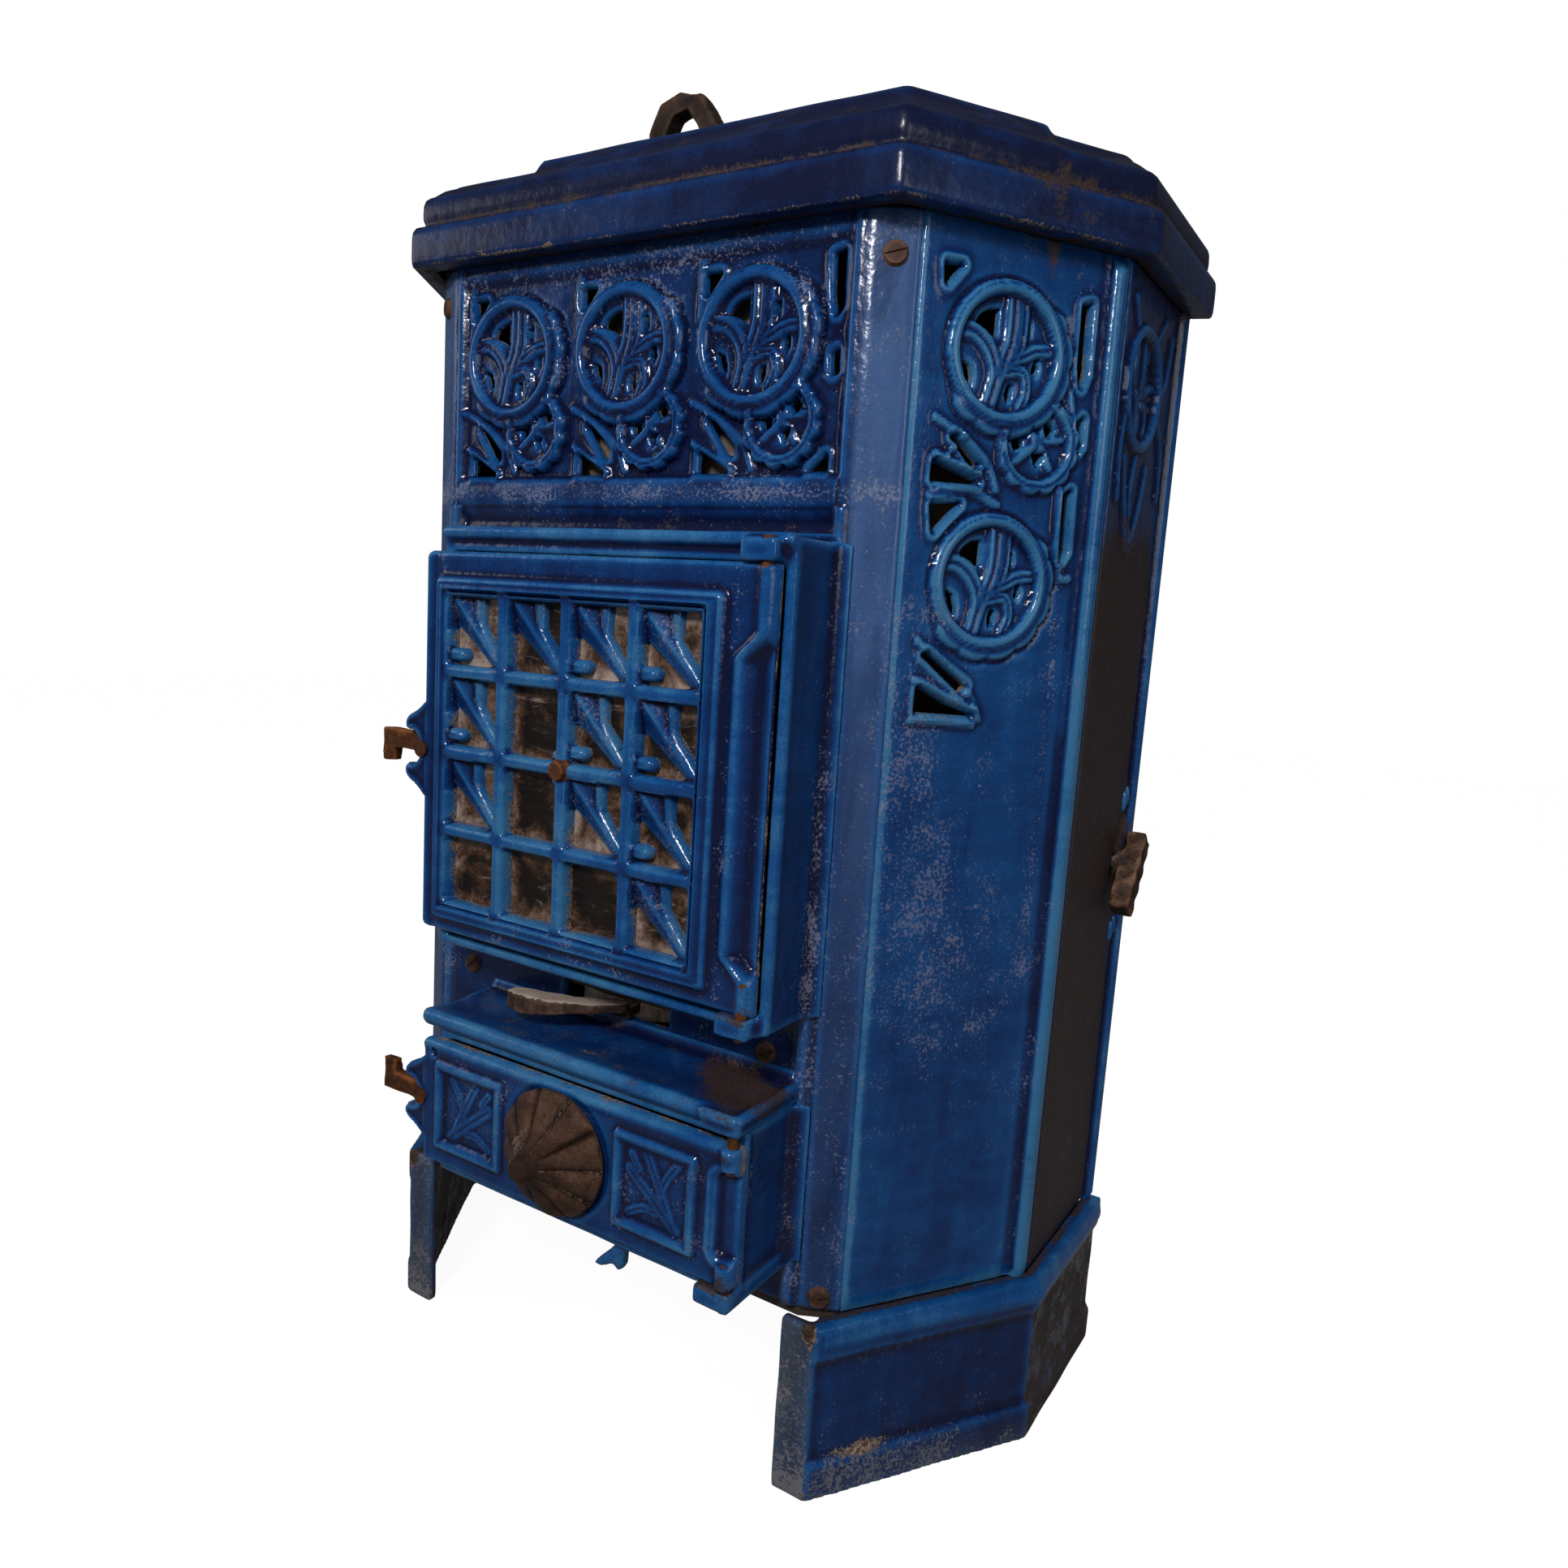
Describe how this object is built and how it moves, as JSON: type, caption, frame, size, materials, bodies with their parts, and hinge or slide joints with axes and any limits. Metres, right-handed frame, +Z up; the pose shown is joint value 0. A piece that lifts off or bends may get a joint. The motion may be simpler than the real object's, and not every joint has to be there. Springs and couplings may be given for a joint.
{
  "type": "enamelled cast-iron room stove",
  "caption": "Upright room stove with canted corners, mica-windowed fire door, ash door with screw air valve, hinged lid, shaking grate and rear flue collar.",
  "frame": {"origin": "on the floor under the middle of the stove's plan box", "axes": "+X to the right seen from the front, +Y to the back, +Z up"},
  "size_m": [0.5692, 0.4268, 0.865],
  "materials": {
    "body_enamel": "glossy translucent blue glaze over cast iron, with limescale speckle and worn edges",
    "door_enamel": "glossy translucent blue glaze over cast iron, pale on raised edges",
    "rusty_iron": "dark brown rusted iron",
    "raw_casting": "raw sooty casting",
    "dusty_iron": "iron under grey ash dust",
    "sooty_mica": "smoky mica, brown and flaking",
    "pan_steel": "dull folded sheet with ash dust",
    "firebrick": "sooty fired clay"
  },
  "bodies": {
    "stove": {"plinth_left": "body_enamel", "plinth_right": "body_enamel", "bottom_plate": "raw_casting", "front_plate": "body_enamel", "canted_panel_left": "body_enamel", "canted_panel_right": "body_enamel", "side_panel_left": "body_enamel", "side_panel_right": "body_enamel", "back_plate": "raw_casting", "top_plate": "raw_casting", "lid_hinge_pins": "rusty_iron", "fire_door_frame": "body_enamel", "fire_hinge_pins": "rusty_iron", "fire_keeper": "rusty_iron", "ash_box": "body_enamel", "ledge": "body_enamel", "ash_hinge_pins": "rusty_iron", "ash_keeper": "rusty_iron", "ash_cheeks": "raw_casting", "grate_frame": "raw_casting", "brick_left": "firebrick", "brick_right": "firebrick", "brick_back": "firebrick", "hopper": "raw_casting", "flue_collar": "raw_casting", "tie_rods": "rusty_iron", "panel_screws": "rusty_iron", "frame_screws": "rusty_iron"},
    "lid": {"lid": "body_enamel", "lid_loop": "rusty_iron"},
    "plug": {"loading_plug": "raw_casting"},
    "fire_door": {"fire_door": "door_enamel", "mica_panes": "sooty_mica", "mica_frame": "raw_casting", "window_rivet": "rusty_iron", "fire_latch_pivot": "rusty_iron"},
    "fire_latch": {"fire_latch": "rusty_iron", "fire_latch_collar": "rusty_iron", "fire_latch_tail": "rusty_iron"},
    "ash_door": {"ash_door": "door_enamel", "ash_latch_pivot": "rusty_iron"},
    "ash_latch": {"ash_latch": "rusty_iron", "ash_latch_collar": "rusty_iron", "ash_latch_tail": "rusty_iron"},
    "air_spindle": {"air_spindle": "rusty_iron"},
    "air_rosette": {"air_rosette": "rusty_iron"},
    "ash_pan": {"ash_pan": "pan_steel"},
    "grate": {"grate": "raw_casting", "shaker_lever": "dusty_iron", "slot_shield": "dusty_iron"},
    "damper": {"damper_plate": "raw_casting", "damper_spindle": "raw_casting", "damper_key": "dusty_iron"}
  },
  "joints": [
    {"name": "lid_hinge", "type": "hinge", "parent": "stove", "child": "lid", "pos_m": [-0.0015, 0.16743, 0.775], "axis": [-1, 0, 0], "range_deg": [0, 95]},
    {"name": "plug_lift", "type": "slide", "parent": "stove", "child": "plug", "axis": [0, 0, 1], "range_m": [0, 0.02]},
    {"name": "fire_door_hinge", "type": "hinge", "parent": "stove", "child": "fire_door", "pos_m": [0.1425, -0.16803, 0.4465], "axis": [0, 0, 1], "range_deg": [0, 110]},
    {"name": "fire_latch_turn", "type": "hinge", "parent": "fire_door", "child": "fire_latch", "pos_m": [-0.124, -0.15873, 0.442], "axis": [0, -1, 0], "range_deg": [0, 35]},
    {"name": "ash_door_hinge", "type": "hinge", "parent": "stove", "child": "ash_door", "pos_m": [0.1475, -0.17573, 0.202], "axis": [0, 0, 1], "range_deg": [0, 110]},
    {"name": "ash_latch_turn", "type": "hinge", "parent": "ash_door", "child": "ash_latch", "pos_m": [-0.11, -0.16673, 0.203], "axis": [0, 1, 0], "range_deg": [0, 35]},
    {"name": "air_valve_travel", "type": "slide", "parent": "ash_door", "child": "air_spindle", "axis": [0, -1, 0], "range_m": [0, 0.0121]},
    {"name": "air_valve_turn", "type": "hinge", "parent": "air_spindle", "child": "air_rosette", "pos_m": [0.015, -0.19343, 0.202], "axis": [0, -1, 0], "range_deg": [0, 1080]},
    {"name": "ash_pan_slide", "type": "slide", "parent": "stove", "child": "ash_pan", "axis": [0, -1, 0], "range_m": [0, 0.011]},
    {"name": "grate_shake", "type": "hinge", "parent": "stove", "child": "grate", "pos_m": [-0.0015, -0.02143, 0.285], "axis": [0, 0, 1], "range_deg": [-20, 14]},
    {"name": "damper_turn", "type": "hinge", "parent": "stove", "child": "damper", "pos_m": [-0.0015, 0.12143, 0.386], "axis": [1, 0, 0], "range_deg": [-56, 34]}
  ],
  "couplings": [
    {"joint": "air_valve_travel", "follows": "air_valve_turn", "m_per_rad": 0.00063662}
  ]
}
